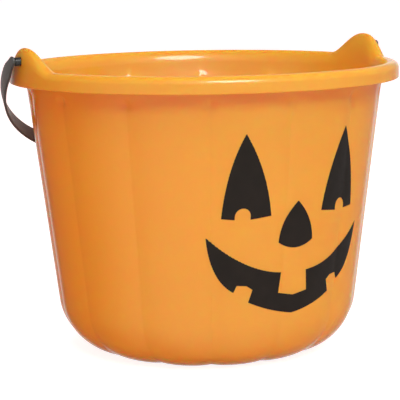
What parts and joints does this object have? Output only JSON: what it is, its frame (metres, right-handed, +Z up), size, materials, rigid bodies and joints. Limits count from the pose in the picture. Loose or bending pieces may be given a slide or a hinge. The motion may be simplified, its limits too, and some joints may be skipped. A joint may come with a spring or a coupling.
{
  "type": "halloween bucket",
  "caption": "Moulded round pail with pumpkin lobes, rolled rim, raised ears, swinging strap handle and printed jack-o'-lantern face.",
  "frame": {"origin": "centre of the base, on the surface the bucket stands on", "axes": "+Z up; the front of the moulding, with the face, towards -Y; the handle's pivot along X through both ears"},
  "size_m": [0.2408, 0.228, 0.1812],
  "materials": {
    "orange_plastic": "glossy, slightly translucent orange polypropylene",
    "black_plastic": "satin black",
    "black_ink": "satin black print"
  },
  "bodies": {
    "bucket": {"bucket_shell": "orange_plastic", "eye_left": "black_ink", "eye_right": "black_ink", "nose": "black_ink", "mouth": "black_ink"},
    "handle": {"carry_handle": "black_plastic"}
  },
  "joints": [
    {"name": "handle_swing", "type": "hinge", "parent": "bucket", "child": "handle", "pos_m": [0, 0, 0.1737], "axis": [1, 0, 0], "range_deg": [0, 247]}
  ]
}
